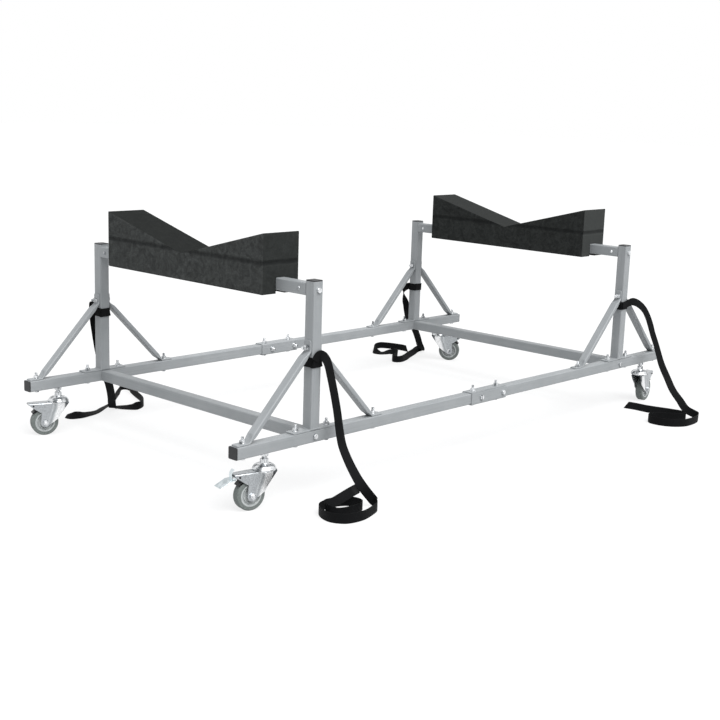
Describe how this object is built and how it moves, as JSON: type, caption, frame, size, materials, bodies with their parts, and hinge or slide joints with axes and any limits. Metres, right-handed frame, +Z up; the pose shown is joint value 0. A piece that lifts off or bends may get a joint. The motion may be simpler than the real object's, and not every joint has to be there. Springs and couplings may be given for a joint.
{
  "type": "kayak stand",
  "caption": "Rolling kayak stand: square-tube frame with braced posts, two foam vee cradles, lashing straps and swivel casters, one with a foot brake.",
  "frame": {"origin": "on the floor under the middle of the stand's overall box, casters and pedal included", "axes": "+X along the rails towards the right-hand cradle, +Y across the stand away from the viewer's near rail, +Z up"},
  "size_m": [1.9926, 1.544, 0.6674],
  "materials": {
    "frame_coat": "satin",
    "zinc_plate": "satin",
    "bearing_steel": "polished",
    "black_plastic": "matte",
    "hub_plastic": "satin",
    "tyre_rubber": "matte",
    "foam": "matte",
    "webbing": "matte"
  },
  "bodies": {
    "stand": {"near_rail_left": "frame_coat", "near_rail_right": "frame_coat", "far_rail_left": "frame_coat", "far_rail_right": "frame_coat", "near_coupler_angles": "frame_coat", "far_coupler_angles": "frame_coat", "left_cross_tube": "frame_coat", "right_cross_tube": "frame_coat", "near_left_post": "frame_coat", "near_right_post": "frame_coat", "far_left_post": "frame_coat", "far_right_post": "frame_coat", "near_left_braces": "frame_coat", "near_right_braces": "frame_coat", "far_left_braces": "frame_coat", "far_right_braces": "frame_coat", "left_cradle_bar": "frame_coat", "right_cradle_bar": "frame_coat", "left_foam_cradle": "foam", "right_foam_cradle": "foam", "rail_end_caps": "black_plastic", "post_caps": "black_plastic", "brace_foot_bolts": "zinc_plate", "post_foot_bolts": "zinc_plate", "brace_top_bolts": "zinc_plate", "coupler_bolts": "zinc_plate", "cross_tube_bolts": "zinc_plate", "cradle_bar_bolts": "zinc_plate", "caster_stems": "zinc_plate", "caster_nuts": "zinc_plate", "bearing_cups": "zinc_plate", "swivel_balls": "bearing_steel", "strap_loops": "webbing", "near_left_strap": "webbing", "near_right_strap": "webbing", "far_left_strap": "webbing", "far_right_strap": "webbing"},
    "near_left_swivel": {"near_left_fork": "zinc_plate", "near_left_axle_bolt": "zinc_plate"},
    "near_left_wheel": {"near_left_hub": "hub_plastic", "near_left_tyre": "tyre_rubber"},
    "near_left_brake": {"near_left_brake_pedal": "zinc_plate", "near_left_brake_shoe": "black_plastic"},
    "near_right_swivel": {"near_right_fork": "zinc_plate", "near_right_axle_bolt": "zinc_plate", "near_right_brake_shoe": "black_plastic"},
    "near_right_wheel": {"near_right_hub": "hub_plastic", "near_right_tyre": "tyre_rubber"},
    "far_left_swivel": {"far_left_fork": "zinc_plate", "far_left_axle_bolt": "zinc_plate", "far_left_brake_shoe": "black_plastic"},
    "far_left_wheel": {"far_left_hub": "hub_plastic", "far_left_tyre": "tyre_rubber"},
    "far_right_swivel": {"far_right_fork": "zinc_plate", "far_right_axle_bolt": "zinc_plate", "far_right_brake_shoe": "black_plastic"},
    "far_right_wheel": {"far_right_hub": "hub_plastic", "far_right_tyre": "tyre_rubber"}
  },
  "joints": [
    {"name": "near_left_swivel", "type": "hinge", "parent": "stand", "child": "near_left_swivel", "pos_m": [-0.86565, -0.46424, 0.1], "axis": [0, 0, 1], "continuous": true},
    {"name": "near_left_wheel_spin", "type": "hinge", "parent": "near_left_swivel", "child": "near_left_wheel", "pos_m": [-0.90673, -0.45551, 0.04], "axis": [-0.2079, -0.9781, 0], "continuous": true},
    {"name": "near_left_brake_pedal", "type": "hinge", "parent": "near_left_swivel", "child": "near_left_brake", "pos_m": [-0.93999, -0.44844, 0.091], "axis": [-0.2079, -0.9781, 0], "range_deg": [0, 7]},
    {"name": "near_right_swivel", "type": "hinge", "parent": "stand", "child": "near_right_swivel", "pos_m": [0.89235, -0.46424, 0.1], "axis": [0, 0, 1], "continuous": true},
    {"name": "near_right_wheel_spin", "type": "hinge", "parent": "near_right_swivel", "child": "near_right_wheel", "pos_m": [0.93394, -0.45839, 0.04], "axis": [-0.1392, 0.9903, 0], "continuous": true},
    {"name": "far_left_swivel", "type": "hinge", "parent": "stand", "child": "far_left_swivel", "pos_m": [-0.86565, 0.44701, 0.1], "axis": [0, 0, 1], "continuous": true},
    {"name": "far_left_wheel_spin", "type": "hinge", "parent": "far_left_swivel", "child": "far_left_wheel", "pos_m": [-0.90512, 0.46138, 0.04], "axis": [-0.342, -0.9397, 0], "continuous": true},
    {"name": "far_right_swivel", "type": "hinge", "parent": "stand", "child": "far_right_swivel", "pos_m": [0.89235, 0.44701, 0.1], "axis": [0, 0, 1], "continuous": true},
    {"name": "far_right_wheel_spin", "type": "hinge", "parent": "far_right_swivel", "child": "far_right_wheel", "pos_m": [0.91644, 0.41261, 0.04], "axis": [0.8192, 0.5736, 0], "continuous": true}
  ]
}
